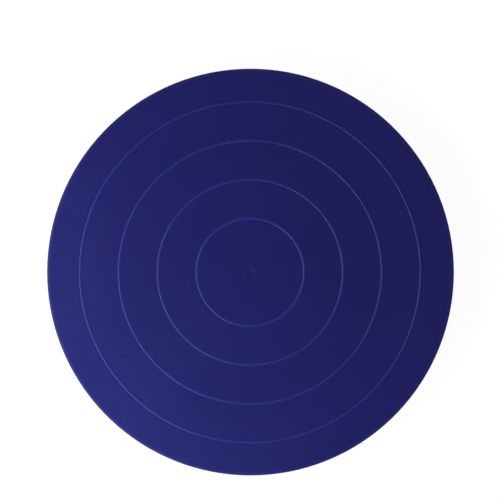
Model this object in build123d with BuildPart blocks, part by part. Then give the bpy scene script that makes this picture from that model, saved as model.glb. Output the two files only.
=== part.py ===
from build123d import *
import os
from math import radians, sqrt, tan

# A low banding wheel. A moulded wheel head turns on a ring of steel balls over a footed base, and one
# screw from below holds the two together. Millimetres, +Z up, origin on the table under the axis.

os.makedirs("parts", exist_ok=True)

# ---------------------------------------------------------------- driving dimensions
# wheel head
WHEEL_DIAMETER = 254.0
OVERALL_HEIGHT = 24.0  # table to the crowns of the guide rings
SKIRT_HEIGHT = 14.0
SKIRT_WALL = 2.5
DECK_WALL = 2.8
SKIRT_DRAFT = 1.0  # degrees
TOP_EDGE_RADIUS = 1.4
SKIRT_EDGE_RADIUS = 0.8
HEAD_RIB_WALL = 1.6
HEAD_RIB_DEPTH = 3.7
HEAD_INNER_RING_RIB = 40.0
HEAD_OUTER_RING_RIB = 105.0

# radial ribs under the wheel head and under the base: few near the hub, twice as many further out
INNER_RIBS = 12
OUTER_RIBS = 24

# marks that the mould's ejector pins leave between the ribs
PIN_MARK_RADIUS = 2.2
PIN_MARK_DEPTH = 0.2
HEAD_PIN_MARK_CIRCLES = (55.0, 95.0)
BASE_PIN_MARK_CIRCLES = (35.0, 58.0)
PIN_MARK_COUNT = 6
PIN_MARK_ANGLE = 7.5  # degrees, midway between two outer ribs

# guide rings on the wheel head, evenly stepped inwards from the outermost
OUTER_GUIDE_RING = 106.1
GUIDE_RING_STEP = 24.2
GUIDE_RING_COUNT = 4
BEAD_WIDTH = 1.5
BEAD_HEIGHT = 0.25
DIMPLE_RADIUS = 3.0
DIMPLE_DEPTH = 0.4

# ball bearing
BALL_RADIUS = 3.175  # quarter inch balls
BALL_COUNT = 20
BALL_PITCH_RADIUS = 78.0
BALL_Z = 12.0
BALL_GAP = 0.08  # running clearance to each raceway
RACE_SHEET = 0.8
RACE_GROOVE_RADIUS = 3.3
RACE_HALF_WIDTH = 6.5
RACE_FLANGE_GAP = 1.7  # ball centre plane to the near face of the flange
RACE_LIP_RADIUS = 0.3
EAR_COUNT = 6
EAR_CENTRE_RADIUS = 68.0
EAR_RADIUS = 4.0
EAR_HOLE_RADIUS = 1.6
EAR_BRIDGE_WIDTH = 7.2
UPPER_EAR_ANGLE = 0.0
LOWER_EAR_ANGLE = 30.0
CAGE_WEB_HALF_WIDTH = 3.6
CAGE_WEB_HALF_HEIGHT = 0.9
CAGE_EYE_RADIUS = 5.0
CAGE_EYE_HALF_HEIGHT = 1.1
CAGE_POCKET_RADIUS = 3.3

# small screws that hold the raceways
EAR_SCREW_RADIUS = 1.45
EAR_SCREW_LENGTH = 5.5
EAR_SCREW_HEAD_RADIUS = 2.8
EAR_SCREW_HEAD_HEIGHT = 1.1
EAR_BOSS_RADIUS = 3.8
EAR_SCREW_HEAD_EDGE = 0.5
EAR_SCREW_POINT = 0.5
EAR_CROSS_ARM = 1.5
EAR_CROSS_DEPTH = 0.7
EAR_CORE_RADIUS = 1.5
EAR_CORE_DEPTH = 5.5

# cross recess of every screw
CROSS_WIDTH = 0.4  # of the arm
CROSS_TAPER = 12.0  # degrees

# base
BASE_DIAMETER = 190.0
BASE_CLEARANCE = 2.0  # table to the underside of the base
BASE_WALL = 2.4
BASE_EDGE_RADIUS = 1.5
BASE_SKIRT_EDGE = 0.6
BASE_RIB_WALL = 1.6
BASE_RIB_LIFT = 1.0  # ribs end this far above the underside
BASE_RING_RIB = 45.0
CHANNEL_HALF_WIDTH = 4.4
CHANNEL_DEPTH = 1.9
LOCATING_LIP_HEIGHT = 0.9
LOCATING_LIP_WALL = 1.6
LOCATING_LIP_GAP = 0.1

# feet
FOOT_COUNT = 6
FOOT_CENTRE_RADIUS = 80.0
FOOT_RADIUS = 7.9
FOOT_POCKET_RADIUS = 8.0
FOOT_POCKET_DEPTH = 1.8
FOOT_BOSS_RADIUS = 9.6
FOOT_EDGE_RADIUS = 0.7
FOOT_DISH_RADIUS = 3.4
FOOT_DISH_DEPTH = 0.5
FOOT_GROOVE_RADIUS = 5.4
FOOT_GROOVE_WALL = 0.6

# hub
SPIGOT_RADIUS = 10.0
SPIGOT_WALL = 2.4
SPIGOT_END_Z = 6.4
POST_RADIUS = 4.6
POST_WEBS = 4
WEB_SETBACK = 1.0  # the webs round the post stop this far above the spigot's end
POST_CORE_RADIUS = 2.5
POST_CORE_DEPTH = 11.6
BUSH_GAP = 0.05  # running clearance between spigot and bush
BUSH_WALL = 1.95
BUSH_FLANGE = 1.0
BUSH_CHAMFER = 0.3
HUB_WALL = 2.6
HUB_HEIGHT = 3.5  # hub tube above the base deck
RECESS_RADIUS = 16.0
RECESS_WALL = 2.2
WASHER_RADIUS = 13.0
WASHER_SHEET = 1.2
WASHER_EDGE = 0.25
WASHER_HOLE_RADIUS = 2.6
SLIP_WASHER_RADIUS = 13.4
SLIP_WASHER_HOLE_RADIUS = 10.4
SLIP_WASHER_GAP = 0.05
HUB_SCREW_RADIUS = 2.45
HUB_SCREW_LENGTH = 11.0
HUB_SCREW_HEAD_RADIUS = 5.0
HUB_SCREW_HEAD_HEIGHT = 1.9
HUB_SCREW_HEAD_EDGE = 1.2
HUB_SCREW_POINT = 0.9
HUB_CROSS_ARM = 2.6
HUB_CROSS_DEPTH = 1.3
CAP_SHEET = 0.9
CAP_EDGE = 0.4
CAP_DISH_RADIUS = 11.0
CAP_DISH_DEPTH = 0.35
CAP_NOTCH_WIDTH = 5.0
CAP_NOTCH_REACH = 2.0
CAP_NOTCH_CORNER = 0.5
CAP_NOTCH_DEPTH = 0.6
CAP_RIM_WALL = 1.3
CAP_RIM_HEIGHT = 1.9

INTO_WALL = 0.8  # how far a rib or boss runs into the wall it joins

# ---------------------------------------------------------------- levels and radii that follow
head_radius = WHEEL_DIAMETER / 2
field_z = OVERALL_HEIGHT - BEAD_HEIGHT
head_under_z = field_z - DECK_WALL
skirt_bottom_z = field_z - SKIRT_HEIGHT
head_top_radius = head_radius - SKIRT_HEIGHT * tan(radians(SKIRT_DRAFT))
skirt_inner_radius = head_top_radius - SKIRT_WALL
head_rib_z = head_under_z - HEAD_RIB_DEPTH
rib_root_z = head_under_z + INTO_WALL

flange_back = RACE_FLANGE_GAP + RACE_SHEET
upper_seat_z = BALL_Z + flange_back
lower_seat_z = BALL_Z - flange_back
race_inner_radius = BALL_PITCH_RADIUS - RACE_HALF_WIDTH
race_outer_radius = BALL_PITCH_RADIUS + RACE_HALF_WIDTH
channel_inner = BALL_PITCH_RADIUS - CHANNEL_HALF_WIDTH
channel_outer = BALL_PITCH_RADIUS + CHANNEL_HALF_WIDTH
lip_inner = race_outer_radius + LOCATING_LIP_GAP
lip_outer = lip_inner + LOCATING_LIP_WALL

base_radius = BASE_DIAMETER / 2
deck_top_z = lower_seat_z
deck_under_z = deck_top_z - BASE_WALL
channel_floor_z = deck_top_z - CHANNEL_DEPTH
channel_under_z = channel_floor_z - BASE_WALL
base_rib_z = BASE_CLEARANCE + BASE_RIB_LIFT

bush_bore = SPIGOT_RADIUS + BUSH_GAP
bush_radius = bush_bore + BUSH_WALL
hub_radius = bush_radius + HUB_WALL
hub_top_z = deck_top_z + HUB_HEIGHT
spigot_bore = SPIGOT_RADIUS - SPIGOT_WALL
washer_under_z = SPIGOT_END_Z - WASHER_SHEET


# ---------------------------------------------------------------- shared shapes
def band(inner, outer, low, high, mode=Mode.ADD):
    """A rectangle of a turned section, from radius inner to outer and height low to high."""
    with Locations(((inner + outer) / 2, (low + high) / 2)):
        Rectangle(outer - inner, high - low, mode=mode)


def radial_ribs(inner, outer, low, high, count, wall):
    """Straight ribs from radius inner to outer, added to the part that is open."""
    with BuildSketch(Plane.XY.offset(low)) as outlines:
        with PolarLocations((inner + outer) / 2, count):
            Rectangle(outer - inner, wall)
    extrude(outlines.sketch, amount=high - low)


def posts(centre_radius, radius, low, high, count, start_angle):
    """Round bosses on a circle, added to the part that is open."""
    with BuildSketch(Plane.XY.offset(low)) as outlines:
        with PolarLocations(centre_radius, count, start_angle=start_angle):
            Circle(radius)
    extrude(outlines.sketch, amount=high - low)


def cross_recess(face_z, depth, arm, centre_radius=0, count=1, start_angle=0):
    """Cross driver recesses in screw heads whose faces are at face_z. A positive depth goes upwards."""
    with BuildSketch(Plane.XY.offset(face_z)) as crosses:
        with PolarLocations(centre_radius, count, start_angle=start_angle):
            Rectangle(2 * arm, CROSS_WIDTH * arm)
            Rectangle(CROSS_WIDTH * arm, 2 * arm)
    extrude(crosses.sketch, amount=depth, taper=CROSS_TAPER, mode=Mode.SUBTRACT)


def pin_marks(circle_radii, low, depth):
    """Shallow round marks sunk upwards from height low into the underside of the part that is open."""
    with BuildSketch(Plane.XY.offset(low)) as outlines:
        for circle_radius in circle_radii:
            for start_angle in (PIN_MARK_ANGLE, -PIN_MARK_ANGLE):
                with PolarLocations(circle_radius, PIN_MARK_COUNT, start_angle=start_angle):
                    Circle(PIN_MARK_RADIUS)
    extrude(outlines.sketch, amount=depth, mode=Mode.SUBTRACT)


def turned_arc_radius(half_width, height):
    """The radius of the arc that rises by height over a chord of twice half_width."""
    return (half_width**2 + height**2) / (2 * height)


def raceway(label, side, ear_angle):
    """A stamped ring with a ball groove and six ears. side is -1 under the balls and 1 over them."""

    def level(distance):
        return BALL_Z + side * distance

    groove_centre = BALL_RADIUS + BALL_GAP - RACE_GROOVE_RADIUS
    back_radius = RACE_GROOVE_RADIUS + RACE_SHEET
    front_chord = sqrt(RACE_GROOVE_RADIUS**2 - (RACE_FLANGE_GAP - groove_centre) ** 2)
    with BuildPart() as ring:
        with BuildSketch(Plane.XZ) as section:
            band(
                race_inner_radius,
                race_outer_radius,
                min(level(RACE_FLANGE_GAP), level(flange_back)),
                max(level(RACE_FLANGE_GAP), level(flange_back)),
            )
            with Locations((BALL_PITCH_RADIUS, level(groove_centre))):
                Circle(back_radius)
            # the circle's share on the balls' side of the flange is cut away
            open_side = level(RACE_FLANGE_GAP)
            circle_end = level(groove_centre - back_radius)
            band(
                race_inner_radius,
                race_outer_radius,
                min(open_side, circle_end),
                max(open_side, circle_end),
                mode=Mode.SUBTRACT,
            )
            with Locations((BALL_PITCH_RADIUS, level(groove_centre))):
                Circle(RACE_GROOVE_RADIUS, mode=Mode.SUBTRACT)
            lips = [
                (BALL_PITCH_RADIUS - front_chord, open_side),
                (BALL_PITCH_RADIUS + front_chord, open_side),
            ]
            fillet([section.vertices().sort_by_distance((*lip, 0))[0] for lip in lips], RACE_LIP_RADIUS)
        revolve(axis=Axis.Z)
        flange_low = min(level(RACE_FLANGE_GAP), level(flange_back))
        with BuildSketch(Plane.XY.offset(flange_low)):
            with PolarLocations(EAR_CENTRE_RADIUS, EAR_COUNT, start_angle=ear_angle):
                Circle(EAR_RADIUS)
            bridge = race_inner_radius + INTO_WALL - EAR_CENTRE_RADIUS
            with PolarLocations(EAR_CENTRE_RADIUS + bridge / 2, EAR_COUNT, start_angle=ear_angle):
                Rectangle(bridge, EAR_BRIDGE_WIDTH)
            with PolarLocations(EAR_CENTRE_RADIUS, EAR_COUNT, start_angle=ear_angle):
                Circle(EAR_HOLE_RADIUS, mode=Mode.SUBTRACT)
        extrude(amount=RACE_SHEET)
    ring.part.label = label
    return ring.part


def ear_screws(label, side, ear_angle):
    """Six wafer-head screws that hold a raceway, with their heads towards the balls."""
    head_seat = BALL_Z + side * RACE_FLANGE_GAP
    head_face = head_seat - side * EAR_SCREW_HEAD_HEIGHT
    tip = head_seat + side * EAR_SCREW_LENGTH
    head_end = 0 if side > 0 else -1
    tip_end = -1 if side > 0 else 0
    with BuildPart() as screws:
        posts(
            EAR_CENTRE_RADIUS,
            EAR_SCREW_HEAD_RADIUS,
            min(head_seat, head_face),
            max(head_seat, head_face),
            EAR_COUNT,
            ear_angle,
        )
        fillet(screws.edges().group_by(Axis.Z)[head_end], EAR_SCREW_HEAD_EDGE)
        posts(
            EAR_CENTRE_RADIUS,
            EAR_SCREW_RADIUS,
            min(head_seat, tip),
            max(head_seat, tip),
            EAR_COUNT,
            ear_angle,
        )
        chamfer(screws.edges().group_by(Axis.Z)[tip_end], EAR_SCREW_POINT)
        sunk = side * EAR_CROSS_DEPTH
        cross_recess(head_face, sunk, EAR_CROSS_ARM, EAR_CENTRE_RADIUS, EAR_COUNT, ear_angle)
    screws.part.label = label
    return screws.part


# ---------------------------------------------------------------- wheel head
with BuildPart() as top_plate:
    with BuildSketch(Plane.XZ) as head_section:
        with BuildLine():
            Polyline(
                (0, field_z),
                (head_top_radius, field_z),
                (head_radius, skirt_bottom_z),
                (head_radius - SKIRT_WALL, skirt_bottom_z),
                (skirt_inner_radius, head_under_z),
                (0, head_under_z),
                close=True,
            )
        make_face()
        fillet(head_section.vertices().group_by(Axis.Y)[-1].sort_by(Axis.X)[-1], TOP_EDGE_RADIUS)
        fillet(head_section.vertices().group_by(Axis.Y)[0], SKIRT_EDGE_RADIUS)
        # guide rings: low round-topped beads
        bead_radius = turned_arc_radius(BEAD_WIDTH / 2, BEAD_HEIGHT)
        for ring_number in range(GUIDE_RING_COUNT):
            ring_radius = OUTER_GUIDE_RING - ring_number * GUIDE_RING_STEP
            with Locations((ring_radius, OVERALL_HEIGHT - bead_radius)):
                Circle(bead_radius)
        dimple_radius = turned_arc_radius(DIMPLE_RADIUS, DIMPLE_DEPTH)
        with Locations((0, field_z - DIMPLE_DEPTH + dimple_radius)):
            Circle(dimple_radius, mode=Mode.SUBTRACT)
        # spigot that turns in the hub bush, and the screw post inside it
        band(spigot_bore, SPIGOT_RADIUS, SPIGOT_END_Z, rib_root_z)
        band(0, POST_RADIUS, SPIGOT_END_Z, rib_root_z)
        # two walls that carry the upper raceway, the outer one with a locating lip
        band(race_inner_radius, channel_inner, upper_seat_z, rib_root_z)
        band(channel_outer, lip_outer, upper_seat_z, rib_root_z)
        band(lip_inner, lip_outer, upper_seat_z - LOCATING_LIP_HEIGHT, upper_seat_z)
        half_rib = HEAD_RIB_WALL / 2
        for rib_radius in (HEAD_INNER_RING_RIB, HEAD_OUTER_RING_RIB):
            band(rib_radius - half_rib, rib_radius + half_rib, head_rib_z, rib_root_z)
    revolve(axis=Axis.Z)
    head_rib_runs = (
        (SPIGOT_RADIUS - INTO_WALL, HEAD_INNER_RING_RIB, INNER_RIBS),
        (HEAD_INNER_RING_RIB, skirt_inner_radius + INTO_WALL, OUTER_RIBS),
    )
    for rib_start, rib_end, rib_count in head_rib_runs:
        radial_ribs(rib_start, rib_end, head_rib_z, rib_root_z, rib_count, HEAD_RIB_WALL)
    web_start = POST_RADIUS - INTO_WALL
    web_end = spigot_bore + INTO_WALL
    radial_ribs(web_start, web_end, SPIGOT_END_Z + WEB_SETBACK, rib_root_z, POST_WEBS, HEAD_RIB_WALL)
    posts(EAR_CENTRE_RADIUS, EAR_BOSS_RADIUS, upper_seat_z, rib_root_z, EAR_COUNT, UPPER_EAR_ANGLE)
    pin_marks(HEAD_PIN_MARK_CIRCLES, head_under_z, PIN_MARK_DEPTH)
    # screw holes, opened from below
    with BuildSketch(Plane.XY.offset(upper_seat_z)):
        with PolarLocations(EAR_CENTRE_RADIUS, EAR_COUNT, start_angle=UPPER_EAR_ANGLE):
            Circle(EAR_CORE_RADIUS)
    extrude(amount=EAR_CORE_DEPTH, mode=Mode.SUBTRACT)
    with BuildSketch(Plane.XY.offset(SPIGOT_END_Z)):
        Circle(POST_CORE_RADIUS)
    extrude(amount=POST_CORE_DEPTH, mode=Mode.SUBTRACT)
top_plate.part.label = "top_plate"
export_step(top_plate.part, "parts/top_plate.step")

# ---------------------------------------------------------------- ball bearing
export_step(raceway("upper_raceway", 1, UPPER_EAR_ANGLE), "parts/upper_raceway.step")
export_step(raceway("lower_raceway", -1, LOWER_EAR_ANGLE), "parts/lower_raceway.step")
export_step(ear_screws("upper_raceway_screws", 1, UPPER_EAR_ANGLE), "parts/upper_raceway_screws.step")
export_step(ear_screws("lower_raceway_screws", -1, LOWER_EAR_ANGLE), "parts/lower_raceway_screws.step")

with BuildPart() as ball_cage:
    with BuildSketch(Plane.XZ):
        band(
            BALL_PITCH_RADIUS - CAGE_WEB_HALF_WIDTH,
            BALL_PITCH_RADIUS + CAGE_WEB_HALF_WIDTH,
            BALL_Z - CAGE_WEB_HALF_HEIGHT,
            BALL_Z + CAGE_WEB_HALF_HEIGHT,
        )
    revolve(axis=Axis.Z)
    posts(
        BALL_PITCH_RADIUS,
        CAGE_EYE_RADIUS,
        BALL_Z - CAGE_EYE_HALF_HEIGHT,
        BALL_Z + CAGE_EYE_HALF_HEIGHT,
        BALL_COUNT,
        0,
    )
    with Locations((0, 0, BALL_Z)):
        with PolarLocations(BALL_PITCH_RADIUS, BALL_COUNT):
            Sphere(CAGE_POCKET_RADIUS, mode=Mode.SUBTRACT)
ball_cage.part.label = "ball_cage"
export_step(ball_cage.part, "parts/ball_cage.step")

for number, place in enumerate(PolarLocations(BALL_PITCH_RADIUS, BALL_COUNT), start=1):
    with BuildPart() as bearing_ball:
        with Locations(place.position + Vector(0, 0, BALL_Z)):
            Sphere(BALL_RADIUS)
    bearing_ball.part.label = f"bearing_ball_{number:02d}"
    export_step(bearing_ball.part, f"parts/bearing_ball_{number:02d}.step")

# ---------------------------------------------------------------- base
with BuildPart() as base_plate:
    with BuildSketch(Plane.XZ) as base_section:
        band(bush_radius, base_radius, deck_under_z, deck_top_z)
        band(base_radius - BASE_WALL, base_radius, BASE_CLEARANCE, deck_top_z)
        fillet(base_section.vertices().group_by(Axis.Y)[-1].sort_by(Axis.X)[-1], BASE_EDGE_RADIUS)
        fillet(base_section.vertices().group_by(Axis.Y)[0], BASE_SKIRT_EDGE)
        # channel that clears the back of the lower raceway's groove
        band(channel_inner - BASE_WALL, channel_outer + BASE_WALL, channel_under_z, deck_top_z)
        band(channel_inner, channel_outer, channel_floor_z, deck_top_z, mode=Mode.SUBTRACT)
        band(lip_inner, lip_outer, deck_top_z, deck_top_z + LOCATING_LIP_HEIGHT)
        # hub tube above the deck, and the wall of the recess below it
        band(bush_radius, hub_radius, deck_under_z, hub_top_z)
        band(RECESS_RADIUS, RECESS_RADIUS + RECESS_WALL, BASE_CLEARANCE, deck_top_z)
        half_rib = BASE_RIB_WALL / 2
        band(BASE_RING_RIB - half_rib, BASE_RING_RIB + half_rib, base_rib_z, deck_top_z)
    revolve(axis=Axis.Z)
    base_rib_runs = (
        (RECESS_RADIUS + INTO_WALL, BASE_RING_RIB, INNER_RIBS),
        (BASE_RING_RIB, channel_inner - INTO_WALL, OUTER_RIBS),
        (channel_outer + INTO_WALL, base_radius - INTO_WALL, OUTER_RIBS),
    )
    for rib_start, rib_end, rib_count in base_rib_runs:
        radial_ribs(rib_start, rib_end, base_rib_z, deck_under_z + INTO_WALL, rib_count, BASE_RIB_WALL)
    radial_ribs(
        channel_inner - INTO_WALL,
        channel_outer + INTO_WALL,
        base_rib_z,
        channel_under_z + INTO_WALL,
        OUTER_RIBS,
        BASE_RIB_WALL,
    )
    posts(
        EAR_CENTRE_RADIUS,
        EAR_BOSS_RADIUS,
        base_rib_z,
        deck_under_z + INTO_WALL,
        EAR_COUNT,
        LOWER_EAR_ANGLE,
    )
    with BuildSketch(Plane.XY.offset(deck_top_z)):
        with PolarLocations(EAR_CENTRE_RADIUS, EAR_COUNT, start_angle=LOWER_EAR_ANGLE):
            Circle(EAR_CORE_RADIUS)
    extrude(amount=-EAR_CORE_DEPTH, mode=Mode.SUBTRACT)
    pin_marks(BASE_PIN_MARK_CIRCLES, deck_under_z, PIN_MARK_DEPTH)
    # foot cups
    posts(FOOT_CENTRE_RADIUS, FOOT_BOSS_RADIUS, BASE_CLEARANCE, deck_under_z, FOOT_COUNT, 0)
    with BuildSketch(Plane.XY.offset(BASE_CLEARANCE)):
        with PolarLocations(FOOT_CENTRE_RADIUS, FOOT_COUNT):
            Circle(FOOT_POCKET_RADIUS)
    extrude(amount=FOOT_POCKET_DEPTH, mode=Mode.SUBTRACT)
base_plate.part.label = "base_plate"
export_step(base_plate.part, "parts/base_plate.step")

# ---------------------------------------------------------------- feet
foot_top_z = BASE_CLEARANCE + FOOT_POCKET_DEPTH
for number, place in enumerate(PolarLocations(FOOT_CENTRE_RADIUS, FOOT_COUNT), start=1):
    foot_plane = Plane(origin=place.position, x_dir=(1, 0, 0), z_dir=(0, -1, 0))
    with BuildPart() as rubber_foot:
        with BuildSketch(foot_plane) as foot_section:
            band(0, FOOT_RADIUS, 0, foot_top_z)
            fillet(foot_section.vertices().group_by(Axis.Y)[0].sort_by(Axis.X)[-1], FOOT_EDGE_RADIUS)
            foot_dish = turned_arc_radius(FOOT_DISH_RADIUS, FOOT_DISH_DEPTH)
            with Locations((0, FOOT_DISH_DEPTH - foot_dish)):
                Circle(foot_dish, mode=Mode.SUBTRACT)
            with Locations((FOOT_GROOVE_RADIUS, 0)):
                Circle(FOOT_GROOVE_WALL / 2, mode=Mode.SUBTRACT)
        revolve(axis=Axis(place.position, (0, 0, 1)))
    rubber_foot.part.label = f"rubber_foot_{number}"
    export_step(rubber_foot.part, f"parts/rubber_foot_{number}.step")

# ---------------------------------------------------------------- hub
with BuildPart() as hub_bush:
    with BuildSketch(Plane.XZ):
        band(bush_bore, bush_radius, deck_under_z, hub_top_z)
        band(bush_bore, hub_radius, hub_top_z, hub_top_z + BUSH_FLANGE)
    revolve(axis=Axis.Z)
    chamfer(hub_bush.edges().group_by(Axis.Z)[-1], BUSH_CHAMFER)
hub_bush.part.label = "hub_bush"
export_step(hub_bush.part, "parts/hub_bush.step")

with BuildPart() as slip_washer:
    with BuildSketch(Plane.XZ):
        band(
            SLIP_WASHER_HOLE_RADIUS,
            SLIP_WASHER_RADIUS,
            SPIGOT_END_Z + SLIP_WASHER_GAP,
            deck_under_z - SLIP_WASHER_GAP,
        )
    revolve(axis=Axis.Z)
slip_washer.part.label = "slip_washer"
export_step(slip_washer.part, "parts/slip_washer.step")

with BuildPart() as retaining_washer:
    with BuildSketch(Plane.XZ):
        band(WASHER_HOLE_RADIUS, WASHER_RADIUS, washer_under_z, SPIGOT_END_Z)
    revolve(axis=Axis.Z)
    outer_rim = retaining_washer.edges().filter_by(GeomType.CIRCLE).sort_by(SortBy.RADIUS)[-2:]
    fillet(outer_rim, WASHER_EDGE)
retaining_washer.part.label = "retaining_washer"
export_step(retaining_washer.part, "parts/retaining_washer.step")

head_face_z = washer_under_z - HUB_SCREW_HEAD_HEIGHT
with BuildPart() as retaining_screw:
    with BuildSketch(Plane.XZ) as screw_section:
        band(0, HUB_SCREW_HEAD_RADIUS, head_face_z, washer_under_z)
        fillet(screw_section.vertices().group_by(Axis.Y)[0].sort_by(Axis.X)[-1], HUB_SCREW_HEAD_EDGE)
        band(0, HUB_SCREW_RADIUS, washer_under_z, washer_under_z + HUB_SCREW_LENGTH)
        chamfer(screw_section.vertices().group_by(Axis.Y)[-1].sort_by(Axis.X)[-1], HUB_SCREW_POINT)
    revolve(axis=Axis.Z)
    cross_recess(head_face_z, HUB_CROSS_DEPTH, HUB_CROSS_ARM)
retaining_screw.part.label = "retaining_screw"
export_step(retaining_screw.part, "parts/retaining_screw.step")

with BuildPart() as hub_cap:
    with BuildSketch(Plane.XZ) as cap_section:
        band(0, RECESS_RADIUS, BASE_CLEARANCE, BASE_CLEARANCE + CAP_SHEET)
        fillet(cap_section.vertices().group_by(Axis.Y)[0].sort_by(Axis.X)[-1], CAP_EDGE)
        cap_dish = turned_arc_radius(CAP_DISH_RADIUS, CAP_DISH_DEPTH)
        with Locations((0, BASE_CLEARANCE + CAP_DISH_DEPTH - cap_dish)):
            Circle(cap_dish, mode=Mode.SUBTRACT)
        cap_top_z = BASE_CLEARANCE + CAP_SHEET
        band(RECESS_RADIUS - CAP_RIM_WALL, RECESS_RADIUS, cap_top_z, cap_top_z + CAP_RIM_HEIGHT)
    revolve(axis=Axis.Z)
    # notch for a thumbnail or a flat blade that lifts the cap out
    with BuildSketch(Plane.XY.offset(BASE_CLEARANCE)):
        with Locations((0, -RECESS_RADIUS)):
            RectangleRounded(CAP_NOTCH_WIDTH, CAP_NOTCH_REACH, CAP_NOTCH_CORNER)
    extrude(amount=CAP_NOTCH_DEPTH, mode=Mode.SUBTRACT)
hub_cap.part.label = "hub_cap"
export_step(hub_cap.part, "parts/hub_cap.step")
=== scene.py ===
import bpy
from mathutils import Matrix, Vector


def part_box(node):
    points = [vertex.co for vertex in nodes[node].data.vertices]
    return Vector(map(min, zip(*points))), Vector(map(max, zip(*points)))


# Looks, camera and light for a low banding wheel.
# Lengths are in metres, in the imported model's frame.

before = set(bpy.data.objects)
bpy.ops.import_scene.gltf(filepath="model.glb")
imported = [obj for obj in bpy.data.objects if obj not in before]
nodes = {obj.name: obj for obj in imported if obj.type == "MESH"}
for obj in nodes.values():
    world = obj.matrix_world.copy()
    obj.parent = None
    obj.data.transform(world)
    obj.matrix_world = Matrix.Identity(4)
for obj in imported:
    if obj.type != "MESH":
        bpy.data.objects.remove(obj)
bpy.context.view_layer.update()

MM = 0.001

# ---------------------------------------------------------------- node graph helpers


def add_node(tree, kind, **settings):
    """Adds a shader node.

    Each setting is an input's value where an input has that name, and a property where none has.
    """
    node = tree.nodes.new(kind)
    for name, value in settings.items():
        socket = node.inputs.get(name.replace("_", " ").title())
        if socket is None:
            setattr(node, name, value)
        else:
            socket.default_value = value
    return node


def join(tree, source, target):
    tree.links.new(source, target)


def add_and_feed(tree, kind, source, **settings):
    """Adds a shader node with source joined to its first input."""
    node = add_node(tree, kind, **settings)
    join(tree, source, node.inputs[0])
    return node


def sockets_of_type(sockets, kind):
    return [socket for socket in sockets if socket.type == kind]


def object_point(tree):
    """The point being shaded, in the piece's own frame, so that a pattern turns with its piece."""
    return add_node(tree, "ShaderNodeTexCoord").outputs["Object"]


def split_point(tree, point):
    return add_and_feed(tree, "ShaderNodeSeparateXYZ", point).outputs


def stretched(tree, point, x, y, z):
    """The point with each axis scaled, for a pattern that is drawn out along the smallest."""
    node = add_and_feed(tree, "ShaderNodeMapping", point)
    node.inputs["Scale"].default_value = (x, y, z)
    return node.outputs["Vector"]


def noise(tree, point, scale, detail=3.0, roughness=0.5):
    node = add_node(tree, "ShaderNodeTexNoise", scale=scale, detail=detail, roughness=roughness)
    join(tree, point, node.inputs["Vector"])
    return node.outputs["Fac"]


def remap(tree, value, source, result=(0.0, 1.0)):
    """Stretches value from the range source to the range result, smoothly and clamped."""
    node = add_node(
        tree,
        "ShaderNodeMapRange",
        interpolation_type="SMOOTHSTEP",
        from_min=source[0],
        from_max=source[1],
        to_min=result[0],
        to_max=result[1],
    )
    join(tree, value, node.inputs["Value"])
    return node.outputs["Result"]


def calculate(tree, operation, *values):
    node = add_node(tree, "ShaderNodeMath", operation=operation)
    for socket, value in zip(node.inputs, values):
        if isinstance(value, (int, float)):
            socket.default_value = value
        else:
            join(tree, value, socket)
    return node.outputs[0]


def multiply(tree, first, second):
    return calculate(tree, "MULTIPLY", first, second)


def add_up(tree, *values):
    total = values[0]
    for value in values[1:]:
        total = calculate(tree, "ADD", total, value)
    return total


def blend_colours(tree, factor, first, second):
    node = add_node(tree, "ShaderNodeMix", data_type="RGBA")
    join(tree, factor, node.inputs["Factor"])
    for socket, value in zip(sockets_of_type(node.inputs, "RGBA"), (first, second)):
        if isinstance(value, tuple):
            socket.default_value = (*value, 1.0)
        else:
            join(tree, value, socket)
    return sockets_of_type(node.outputs, "RGBA")[0]


def distance_from_axis(tree, point):
    x, y, _ = split_point(tree, point)
    return calculate(tree, "SQRT", add_up(tree, multiply(tree, x, x), multiply(tree, y, y)))


def ring_point(tree, point, around, outward):
    """A point for patterns that run round the axis.

    X and Y are the direction from the axis, times around. Z is radius plus height, times outward.
    """
    x, y, z = split_point(tree, point)
    radius = distance_from_axis(tree, point)
    rings = add_node(tree, "ShaderNodeCombineXYZ")
    for part, axis in ((x, "X"), (y, "Y")):
        direction = calculate(tree, "DIVIDE", part, radius)
        join(tree, multiply(tree, direction, around), rings.inputs[axis])
    join(tree, multiply(tree, add_up(tree, radius, z), outward), rings.inputs["Z"])
    return rings.outputs[0]


def within(tree, value, centre, half_width, soft):
    """1 where value is within half_width of centre, falling to 0 over soft."""
    away = calculate(tree, "ABSOLUTE", calculate(tree, "SUBTRACT", value, centre))
    return remap(tree, away, (half_width, half_width + soft), (1.0, 0.0))


def bump(tree, height, distance, normal=None):
    """Raises the surface by height times distance."""
    node = add_node(tree, "ShaderNodeBump", distance=distance, strength=1.0)
    join(tree, height, node.inputs["Height"])
    if normal is not None:
        join(tree, normal, node.inputs["Normal"])
    return node.outputs["Normal"]


def start_material(name, constants):
    """A new material with its shader's constant sockets set."""
    material = bpy.data.materials.new(name)
    material.use_nodes = True
    shader = material.node_tree.nodes["Principled BSDF"]
    for socket, value in constants.items():
        shader.inputs[socket].default_value = value
    return material, material.node_tree, shader


# ---------------------------------------------------------------- blue plastic

STYRENE = {"Metallic": 0.0, "IOR": 1.49}
BLUE_DEEP = (0.0266, 0.0234, 0.2345)
BLUE_PALE = (0.0316, 0.0284, 0.279)
# painted highlight colour, for the ring crowns and the face's rim
BLUE_PAINTED_HIGHLIGHT = (0.047, 0.051, 0.420)
# painted shade colour, for the ring feet and the outer edge
BLUE_PAINTED_SHADE = (0.0240, 0.0245, 0.236)
HEAD_SATIN = 0.27
BASE_SATIN = 0.30

# The guide rings: round-topped beads on the wheel head's face.
OUTER_GUIDE_RING = 106.1 * MM
GUIDE_RING_STEP = 24.2 * MM
GUIDE_RINGS_CENTRE = OUTER_GUIDE_RING - 1.5 * GUIDE_RING_STEP
GUIDE_RINGS_HALF_SPAN = 1.6 * GUIDE_RING_STEP
BEAD_HEIGHT = 0.25 * MM
BEAD_HALF_WIDTH = 0.75 * MM
BEAD_ARC = 1.25 * MM
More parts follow.
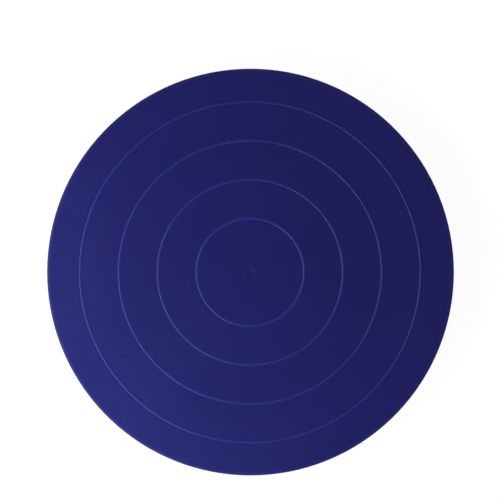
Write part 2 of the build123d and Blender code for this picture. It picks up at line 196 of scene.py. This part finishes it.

# Distances from the crown of a ring: where its painted highlight fades out, and where the
# painted shade at its foot lies.
CROWN_FADE = (0.6 * MM, 1.0 * MM)
FOOT_CENTRE = 1.15 * MM
FOOT_HALF_WIDTH = 0.25 * MM
FOOT_FADE = 0.6 * MM

# The wheel head's top edge starts this far inside its widest radius, and carries a painted
# highlight just inside that.
RIM_INSET = 1.6 * MM
RIM_HALF_WIDTH = 0.3 * MM
RIM_FADE = 0.5 * MM
# how strongly the painted highlight shows at the rim
RIM_HIGHLIGHT_STRENGTH = 0.35
RIM_DULLNESS = 0.25
# less roughness where the painted highlight lies
HIGHLIGHT_ZONE_GLOSS = 0.04

# The plastic turns paler between these radii.
PALER_BETWEEN = (68 * MM, 118 * MM)


def blue_pigment(tree, point, radius):
    """The plastic's colour: paler towards the edge, with flow marks from a centre gate."""
    pigment = noise(tree, point, scale=14.0, detail=4.0)
    around_gate = ring_point(tree, point, around=9.0, outward=14.0)
    flow = noise(tree, around_gate, scale=1.0, detail=5.0, roughness=0.6)
    cloudy = add_up(tree, multiply(tree, pigment, 0.6), multiply(tree, flow, 0.4))
    clouds = remap(tree, cloudy, (0.36, 0.64), (0.0, 0.35))
    towards_edge = remap(tree, radius, PALER_BETWEEN, (0.0, 0.65))
    return blend_colours(tree, add_up(tree, clouds, towards_edge), BLUE_DEEP, BLUE_PALE)


def blue_dullness(tree, point, satin):
    """The plastic's roughness: satin on average, with smears and a fine speckle."""
    smear = noise(tree, point, scale=26.0, detail=6.0, roughness=0.65)
    speckle = noise(tree, point, scale=900.0, detail=2.0)
    return add_up(
        tree,
        remap(tree, smear, (0.3, 0.7), (satin - 0.03, satin + 0.04)),
        remap(tree, speckle, (0.2, 0.8), (-0.015, 0.015)),
    )


def finish_blue(tree, shader, point, colour, dullness, normal=None):
    """Joins colour and roughness to the shader, over slight waviness and a fine eroded texture."""
    join(tree, colour, shader.inputs["Base Color"])
    join(tree, dullness, shader.inputs["Roughness"])
    waves = noise(tree, point, scale=55.0, detail=2.0)
    grain = noise(tree, point, scale=2600.0, detail=3.0)
    wavy = bump(tree, waves, distance=0.04 * MM, normal=normal)
    join(tree, bump(tree, grain, distance=0.008 * MM, normal=wavy), shader.inputs["Normal"])


def turned_normal(tree, point, radius, outward, strength):
    """A normal that leans outwards by the sine outward where strength is 1.

    Where strength is 0 it is the surface's own normal.
    """
    x, y, _ = split_point(tree, point)
    lean = calculate(tree, "DIVIDE", outward, radius)
    rest = calculate(tree, "SUBTRACT", 1.0, multiply(tree, outward, outward))
    upright = calculate(tree, "SQRT", rest)
    normal = add_node(tree, "ShaderNodeCombineXYZ")
    join(tree, multiply(tree, x, lean), normal.inputs["X"])
    join(tree, multiply(tree, y, lean), normal.inputs["Y"])
    join(tree, upright, normal.inputs["Z"])
    turned = add_and_feed(
        tree,
        "ShaderNodeVectorTransform",
        normal.outputs[0],
        vector_type="NORMAL",
        convert_from="OBJECT",
        convert_to="WORLD",
    )
    pick = add_node(tree, "ShaderNodeMix", data_type="VECTOR")
    join(tree, strength, pick.inputs["Factor"])
    own_socket, turned_socket = sockets_of_type(pick.inputs, "VECTOR")[-2:]
    join(tree, add_node(tree, "ShaderNodeNewGeometry").outputs["Normal"], own_socket)
    join(tree, turned.outputs[0], turned_socket)
    return sockets_of_type(pick.outputs, "VECTOR")[0]


def plain_blue(name, satin):
    """Coloured styrene."""
    material, tree, shader = start_material(name, STYRENE)
    point = object_point(tree)
    colour = blue_pigment(tree, point, distance_from_axis(tree, point))
    finish_blue(tree, shader, point, colour, blue_dullness(tree, point, satin))
    return material


def ringed_blue(name, satin, field_level, rim_radius):
    """Coloured styrene with guide rings above field_level.

    The crowns of the rings get a painted highlight and a smoother finish, and so, faintly,
    does the face's edge at rim_radius. Painted shade darkens the foot of each ring. Outside
    rim_radius the edge is duller and darkened with painted shade.
    """
    material, tree, shader = start_material(name, STYRENE)
    point = object_point(tree)
    radius = distance_from_axis(tree, point)
    height = split_point(tree, point)["Z"]

    # where the rings are, and how far each point is from the nearest crown
    on_face = remap(tree, height, (field_level - 0.4 * MM, field_level - 0.2 * MM))
    among_rings = within(tree, radius, GUIDE_RINGS_CENTRE, GUIDE_RINGS_HALF_SPAN, soft=1.0 * MM)
    ringed = multiply(tree, on_face, among_rings)
    off_ring = calculate(tree, "SUBTRACT", radius, OUTER_GUIDE_RING)
    off_crown = calculate(tree, "WRAP", off_ring, GUIDE_RING_STEP / 2, -GUIDE_RING_STEP / 2)
    away = calculate(tree, "ABSOLUTE", off_crown)

    # painted highlight on crowns and rim, painted shade at ring feet and on the duller outer edge
    patchy = remap(tree, noise(tree, point, scale=120.0, detail=3.0), (0.25, 0.6), (0.88, 1.0))
    # painted highlight on the ring crowns
    crown = multiply(tree, remap(tree, away, CROWN_FADE, (1.0, 0.0)), patchy)
    at_rim = within(tree, radius, rim_radius - RIM_HALF_WIDTH, RIM_HALF_WIDTH, soft=RIM_FADE)
    rim = multiply(tree, at_rim, RIM_HIGHLIGHT_STRENGTH)
    # where the painted highlight goes: ring crowns or rim
    painted_highlight = calculate(tree, "MAXIMUM", multiply(tree, crown, ringed), rim)
    # painted shade at the foot of each ring
    foot_band = within(tree, away, FOOT_CENTRE, FOOT_HALF_WIDTH, soft=FOOT_FADE)
    foot = multiply(tree, foot_band, ringed)
    # painted shade over the outer edge, which is also made duller
    over_edge = multiply(
        tree,
        remap(tree, radius, (rim_radius, rim_radius + RIM_FADE)),
        remap(tree, height, (field_level - 2.6 * MM, field_level - 1.2 * MM)),
    )

    colour = blue_pigment(tree, point, radius)
    # painted shade at the ring feet
    colour = blend_colours(tree, foot, colour, BLUE_PAINTED_SHADE)
    # painted highlight on crowns and rim
    colour = blend_colours(tree, painted_highlight, colour, BLUE_PAINTED_HIGHLIGHT)
    # painted shade over the outer edge
    colour = blend_colours(tree, over_edge, colour, BLUE_PAINTED_SHADE)
    smoothed = multiply(tree, painted_highlight, HIGHLIGHT_ZONE_GLOSS)
    dullness = calculate(tree, "SUBTRACT", blue_dullness(tree, point, satin), smoothed)
    dullness = add_up(tree, dullness, multiply(tree, over_edge, RIM_DULLNESS))

    # the beads are shaded by the normal of their exact round section
    on_bead = multiply(tree, calculate(tree, "LESS_THAN", away, BEAD_HALF_WIDTH), ringed)
    lean = calculate(tree, "DIVIDE", multiply(tree, off_crown, on_bead), BEAD_ARC)
    normal = turned_normal(tree, point, radius, lean, on_bead)
    finish_blue(tree, shader, point, colour, dullness, normal)
    return material


# ---------------------------------------------------------------- steel

SHEET_DARK = (0.50, 0.495, 0.48)
SHEET_LIGHT = (0.60, 0.595, 0.58)
SHEET_BURNISHED = (0.66, 0.66, 0.65)
BALL_CLEAN = (0.66, 0.655, 0.645)
BALL_GREASED = (0.56, 0.545, 0.50)
ZINC_BLUE = (0.50, 0.535, 0.60)
ZINC_STRAW = (0.63, 0.59, 0.49)
ZINC_CRYSTAL = (0.68, 0.68, 0.67)
TRACK_HALF_WIDTH = 0.7 * MM


def stamped_stainless(name, track_radius):
    """Cold-rolled sheet with its grain along X, and a burnished line where the balls run."""
    material, tree, shader = start_material(name, {"Metallic": 1.0})
    point = object_point(tree)
    along_grain = stretched(tree, point, x=30.0, y=2600.0, z=2600.0)
    grain = noise(tree, along_grain, scale=1.0, detail=4.0, roughness=0.6)
    clouds = noise(tree, point, scale=45.0, detail=4.0)
    radius = distance_from_axis(tree, point)
    track = within(tree, radius, track_radius, TRACK_HALF_WIDTH, soft=0.9 * MM)
    mottle = remap(tree, add_up(tree, grain, clouds), (0.75, 1.25))
    sheet = blend_colours(tree, mottle, SHEET_DARK, SHEET_LIGHT)
    join(tree, blend_colours(tree, track, sheet, SHEET_BURNISHED), shader.inputs["Base Color"])

    rolled = remap(tree, grain, (0.3, 0.7), (0.26, 0.40))
    around_track = ring_point(tree, point, around=2.0, outward=9000.0)
    scored = noise(tree, around_track, scale=1.0, detail=2.0)
    burnished = remap(tree, scored, (0.3, 0.7), (0.10, 0.20))
    pick = add_node(tree, "ShaderNodeMix", data_type="FLOAT")
    values = sockets_of_type(pick.inputs, "VALUE")
    rolled_socket, burnished_socket = [socket for socket in values if socket.name in ("A", "B")]
    join(tree, track, pick.inputs["Factor"])
    join(tree, rolled, rolled_socket)
    join(tree, burnished, burnished_socket)
    join(tree, pick.outputs["Result"], shader.inputs["Roughness"])
    join(tree, bump(tree, grain, distance=0.004 * MM), shader.inputs["Normal"])
    return material


def polished_ball(name):
    """Lapped stainless with a thin uneven film of grease."""
    material, tree, shader = start_material(name, {"Metallic": 1.0})
    point = object_point(tree)
    film = noise(tree, point, scale=420.0, detail=4.0, roughness=0.6)
    across_scratches = stretched(tree, point, x=700.0, y=9000.0, z=1500.0)
    scratches = noise(tree, across_scratches, scale=1.0, detail=2.0)
    colour = blend_colours(tree, remap(tree, film, (0.4, 0.65)), BALL_CLEAN, BALL_GREASED)
    join(tree, colour, shader.inputs["Base Color"])
    roughness = add_up(
        tree,
        remap(tree, film, (0.4, 0.65), (0.05, 0.16)),
        remap(tree, scratches, (0.55, 0.8), (0.0, 0.06)),
    )
    join(tree, roughness, shader.inputs["Roughness"])
    return material


def bright_zinc(name):
    """Zinc plate with the faint blue and straw colours of its clear passivation."""
    material, tree, shader = start_material(name, {"Metallic": 1.0})
    point = object_point(tree)
    drift = noise(tree, point, scale=240.0, detail=3.0)
    crystals = noise(tree, point, scale=2400.0, detail=3.0)
    plate = blend_colours(tree, remap(tree, drift, (0.35, 0.65)), ZINC_BLUE, ZINC_STRAW)
    colour = blend_colours(tree, remap(tree, crystals, (0.5, 0.8)), plate, ZINC_CRYSTAL)
    roughness = remap(tree, add_up(tree, drift, crystals), (0.7, 1.3), (0.20, 0.38))
    join(tree, colour, shader.inputs["Base Color"])
    join(tree, roughness, shader.inputs["Roughness"])
    join(tree, bump(tree, crystals, distance=0.005 * MM), shader.inputs["Normal"])
    return material


# ---------------------------------------------------------------- natural polymer and rubber

ACETAL = {"colour": (0.80, 0.78, 0.71), "shade": (0.72, 0.70, 0.63), "depth": 0.18, "satin": 0.40}
NYLON = {"colour": (0.84, 0.83, 0.79), "shade": (0.78, 0.77, 0.72), "depth": 0.30, "satin": 0.34}
RUBBER_BLACK = (0.014, 0.014, 0.015)
RUBBER_BLOOM = (0.026, 0.026, 0.027)
RUBBER_SCUFFED = (0.042, 0.041, 0.040)


def natural_polymer(name, colour, shade, depth, satin):
    """Unpigmented acetal or nylon: waxy, a little light carried under the surface."""
    constants = {
        "Metallic": 0.0,
        "IOR": 1.48,
        "Subsurface Weight": depth,
        "Subsurface Radius": (1.0, 0.85, 0.6),
        "Subsurface Scale": 1.2 * MM,
    }
    material, tree, shader = start_material(name, constants)
    point = object_point(tree)
    clouds = noise(tree, point, scale=110.0, detail=5.0)
    specks = noise(tree, point, scale=1900.0, detail=2.0)
    mottle = remap(tree, add_up(tree, clouds, specks), (0.8, 1.25))
    roughness = remap(tree, clouds, (0.3, 0.7), (satin - 0.06, satin + 0.08))
    join(tree, blend_colours(tree, mottle, colour, shade), shader.inputs["Base Color"])
    join(tree, roughness, shader.inputs["Roughness"])
    join(tree, bump(tree, specks, distance=0.006 * MM), shader.inputs["Normal"])
    return material


def moulded_rubber(name):
    """Black rubber with a fine tooth, scuffed grey where it stands on the table."""
    material, tree, shader = start_material(name, {"Metallic": 0.0, "IOR": 1.52})
    point = object_point(tree)
    tooth = noise(tree, point, scale=3200.0, detail=3.0)
    bloom = noise(tree, point, scale=160.0, detail=5.0, roughness=0.6)
    scuffs = noise(tree, point, scale=1500.0, detail=5.0, roughness=0.7)
    near_table = remap(tree, split_point(tree, point)["Z"], (0.05 * MM, 0.45 * MM), (1.0, 0.0))
    worn = multiply(tree, near_table, remap(tree, scuffs, (0.45, 0.7)))
    black = blend_colours(tree, remap(tree, bloom, (0.35, 0.7)), RUBBER_BLACK, RUBBER_BLOOM)
    join(tree, blend_colours(tree, worn, black, RUBBER_SCUFFED), shader.inputs["Base Color"])
    join(tree, remap(tree, bloom, (0.3, 0.7), (0.58, 0.76)), shader.inputs["Roughness"])
    join(tree, bump(tree, tooth, distance=0.02 * MM), shader.inputs["Normal"])
    return material


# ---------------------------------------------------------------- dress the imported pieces

# Points closer than this are one point. Joining them removes triangles that have no area.
SAME_POINT = 1e-7


def dress(material, *names):
    """Gives each node the material, drops its collapsed triangles and evens its shading.

    The evening lets the larger faces rule the shading across the edges they share.
    """
    for name in names:
        mesh = nodes[name].data
        mesh.materials.clear()
        mesh.materials.append(material)
        weld = nodes[name].modifiers.new("drop_collapsed_triangles", "WELD")
        weld.merge_threshold = SAME_POINT
        even = nodes[name].modifiers.new("even_shading", "WEIGHTED_NORMAL")
        even.keep_sharp = True


def named(start):
    return sorted(name for name in nodes if name.startswith(start))


head_low, head_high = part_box("top_plate")
ball_low, ball_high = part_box("bearing_ball_01")
ball_pitch = (ball_low.x + ball_high.x) / 2

dress(
    ringed_blue(
        "head_blue",
        HEAD_SATIN,
        field_level=head_high.z - BEAD_HEIGHT,
        rim_radius=head_high.x - RIM_INSET,
    ),
    "top_plate",
)
dress(plain_blue("base_blue", BASE_SATIN), "base_plate", "hub_cap")
dress(stamped_stainless("race_stainless", ball_pitch), "upper_raceway", "lower_raceway")
dress(polished_ball("ball_stainless"), *named("bearing_ball_"))
dress(natural_polymer("cage_acetal", **ACETAL), "ball_cage", "hub_bush")
dress(natural_polymer("washer_nylon", **NYLON), "slip_washer")
dress(
    bright_zinc("bright_zinc"),
    "upper_raceway_screws",
    "lower_raceway_screws",
    "retaining_washer",
    "retaining_screw",
)
dress(moulded_rubber("foot_rubber"), *named("rubber_foot_"))

# ---------------------------------------------------------------- floor, light and camera

FLOOR_SIZE = 30.0
FLOOR_MATERIAL = {
    "Base Color": (0.25, 0.25, 0.25, 1.0),
    "Roughness": 0.9,
    "Emission Color": (1.0, 1.0, 1.0, 1.0),
    "Emission Strength": 0.945,
}

# At the height of its face, the wheel head fills this share of the picture's width.
# Its axis is this far to the right of the picture's centre and below it, as shares of that width.
HEAD_SHARE = 0.8160
CENTRE_RIGHT = 0.0010
CENTRE_DOWN = 0.0442
LENS = 180.0
SENSOR = 36.0
CAMERA_REACH = 20.0

ROOM_COLOUR = (1.03, 0.94, 1.0, 1.0)
ROOM_AT_HORIZON = 0.16
ROOM_OVERHEAD = 0.09


def make_floor():
    bpy.ops.mesh.primitive_plane_add(size=FLOOR_SIZE)
    floor = bpy.context.object
    floor.name = "floor"
    floor.data.materials.append(start_material("pale_floor", FLOOR_MATERIAL)[0])


def make_camera():
    """A camera that looks straight down on the wheel head."""
    width = (head_high.x - head_low.x) / HEAD_SHARE
    data = bpy.data.cameras.new("plan_camera")
    data.lens = LENS
    data.sensor_width = SENSOR
    data.clip_end = CAMERA_REACH
    camera = bpy.data.objects.new("plan_camera", data)
    above = head_high.z + width * LENS / SENSOR
    camera.location = (-CENTRE_RIGHT * width, CENTRE_DOWN * width, above)
    bpy.context.scene.collection.objects.link(camera)
    bpy.context.scene.camera = camera


def make_softbox(name, place, size, watts, colour=(1.0, 1.0, 1.0), glossy=True):
    """A rectangular light at place, turned towards the frame's origin."""
    data = bpy.data.lights.new(name, "AREA")
    data.shape = "RECTANGLE"
    data.size, data.size_y = size
    data.energy = watts
    data.color = colour
    light = bpy.data.objects.new(name, data)
    light.location = place
    light.rotation_mode = "QUATERNION"
    light.rotation_quaternion = (-Vector(place)).to_track_quat("-Z", "Y")
    light.visible_camera = False
    light.visible_glossy = glossy
    bpy.context.scene.collection.objects.link(light)


def make_world():
    """A pale room: brighter round the horizon than overhead."""
    world = bpy.data.worlds.new("studio")
    world.use_nodes = True
    tree = world.node_tree
    background = tree.nodes["Background"]
    direction = add_node(tree, "ShaderNodeTexCoord").outputs["Generated"]
    rise = split_point(tree, direction)["Z"]
    light = remap(tree, rise, (0.05, 0.75), (ROOM_AT_HORIZON, ROOM_OVERHEAD))
    join(tree, light, background.inputs["Strength"])
    background.inputs["Color"].default_value = ROOM_COLOUR
    bpy.context.scene.world = world


make_floor()
make_camera()
make_softbox(
    "near_key",
    place=(-0.157, -0.097, 0.166),
    size=(0.30, 0.30),
    watts=0.275,
    colour=(0.77, 1.06, 1.03),
    glossy=False,
)
make_softbox("side_softbox", place=(-0.889, -0.323, 0.739), size=(2.2, 0.66), watts=5.93)
make_world()
bpy.context.scene.view_settings.view_transform = "Standard"
